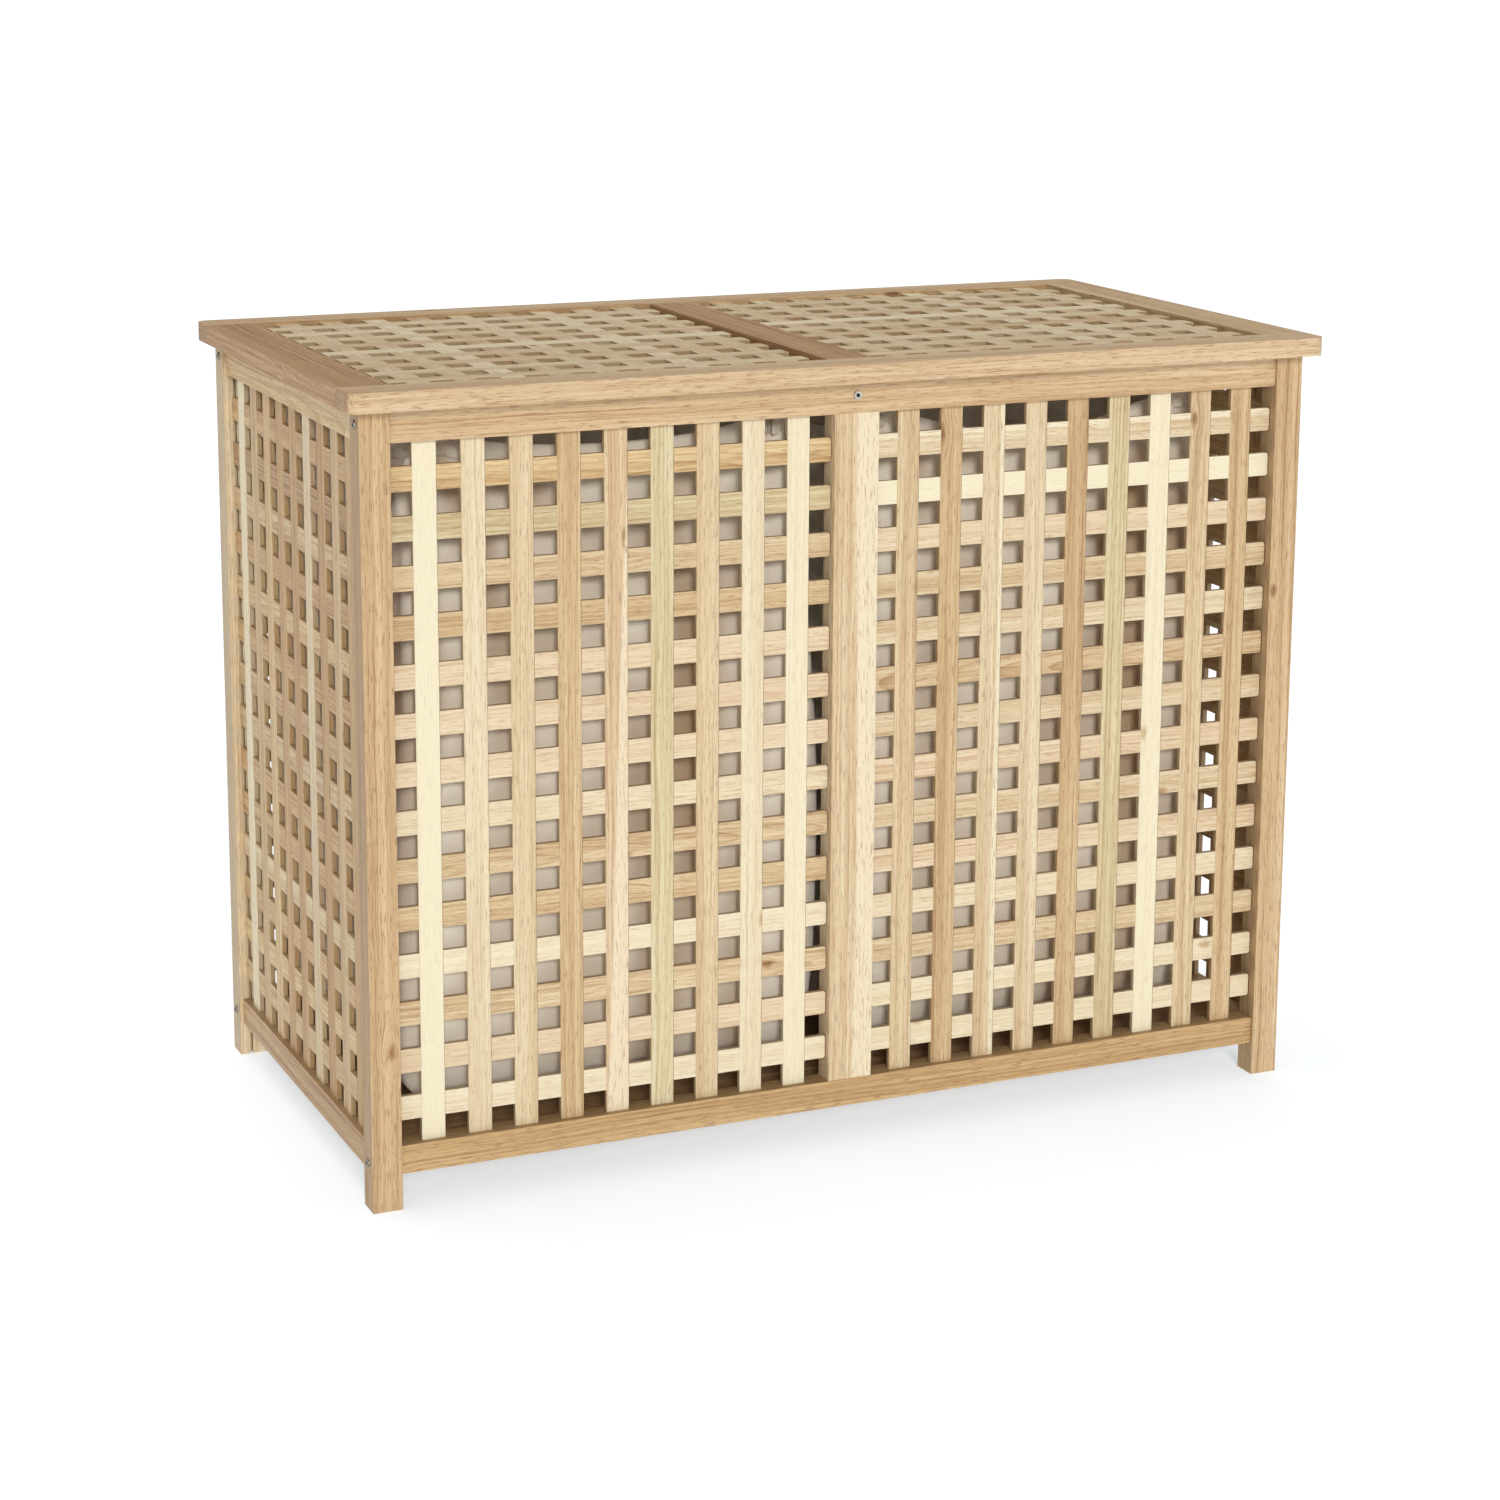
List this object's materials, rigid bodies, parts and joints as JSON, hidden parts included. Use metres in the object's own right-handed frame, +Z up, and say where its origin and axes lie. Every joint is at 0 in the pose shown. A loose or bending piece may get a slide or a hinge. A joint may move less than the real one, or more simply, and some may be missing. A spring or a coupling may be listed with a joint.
{
  "type": "laundry hamper with lid",
  "caption": "Wide hardwood laundry chest with a screwed lattice frame on four legs, hanging cotton bags and a full-width hinged lattice lid",
  "frame": {"origin": "centre of the footprint on the floor, at the bottom of the legs", "axes": "+X to the right along the width, -Y towards the front with the crossbar screw, +Y towards the hinges, +Z up"},
  "size_m": [0.875, 0.46, 0.6703],
  "materials": {
    "wood_posts": "oiled, golden brown with a pinkish tint, fine pores and straight to swirling grain",
    "wood_rails": "oiled, tan to ochre, with streaks and an arched grain",
    "wood_upright_slats": "oiled sapwood and heartwood mixed, from pale cream to streaked beige brown",
    "wood_cross_slats": "oiled, tan with brown streaks, a few greenish or orange pieces",
    "wood_lid_frame": "oiled, mauve brown on top with golden edges",
    "wood_hidden": "plain light hardwood",
    "wood_board": "veneered board, brown, satin",
    "cotton": "plain woven cotton canvas, off-white, soft folds and stitched hems",
    "nickel_fittings": "nickel plated, slightly dull"
  },
  "bodies": {
    "chest": {"front_left_post": "wood_posts", "front_right_post": "wood_posts", "rear_left_post": "wood_posts", "rear_right_post": "wood_posts", "front_top_rail": "wood_rails", "front_bottom_rail": "wood_rails", "front_centre_stile": "wood_rails", "rear_top_rail": "wood_rails", "rear_bottom_rail": "wood_rails", "rear_centre_stile": "wood_rails", "left_top_rail": "wood_rails", "left_bottom_rail": "wood_rails", "right_top_rail": "wood_rails", "right_bottom_rail": "wood_rails", "front_left_bay_uprights": "wood_upright_slats", "front_left_bay_cross_slats": "wood_cross_slats", "front_right_bay_uprights": "wood_upright_slats", "front_right_bay_cross_slats": "wood_cross_slats", "rear_left_bay_uprights": "wood_upright_slats", "rear_left_bay_cross_slats": "wood_cross_slats", "rear_right_bay_uprights": "wood_upright_slats", "rear_right_bay_cross_slats": "wood_cross_slats", "left_side_uprights": "wood_upright_slats", "left_side_cross_slats": "wood_cross_slats", "right_side_uprights": "wood_upright_slats", "right_side_cross_slats": "wood_cross_slats", "left_frame_dowels": "wood_hidden", "right_frame_dowels": "wood_hidden", "stile_dowels": "wood_hidden", "frame_screws": "nickel_fittings", "bag_crossbar": "wood_hidden", "crossbar_screws": "nickel_fittings", "front_board_batten": "wood_hidden", "rear_board_batten": "wood_hidden", "bottom_board": "wood_board", "left_laundry_bag": "cotton", "right_laundry_bag": "cotton", "left_bag_tabs": "cotton", "right_bag_tabs": "cotton", "bag_pegs": "nickel_fittings", "hinge_rail_leaves": "nickel_fittings", "hinge_pins": "nickel_fittings", "hinge_rail_screws": "nickel_fittings"},
    "lid": {"lid_front_rail": "wood_lid_frame", "lid_rear_rail": "wood_lid_frame", "lid_left_rail": "wood_lid_frame", "lid_right_rail": "wood_lid_frame", "lid_centre_rail": "wood_lid_frame", "lid_left_long_slats": "wood_upright_slats", "lid_left_cross_slats": "wood_cross_slats", "lid_right_long_slats": "wood_upright_slats", "lid_right_cross_slats": "wood_cross_slats", "lid_dowels": "wood_hidden", "hinge_lid_leaves": "nickel_fittings", "hinge_lid_screws": "nickel_fittings"}
  },
  "joints": [
    {"name": "lid_hinge", "type": "hinge", "parent": "chest", "child": "lid", "pos_m": [0, 0.213, 0.6504], "axis": [-1, 0, 0], "range_deg": [0, 100]}
  ]
}
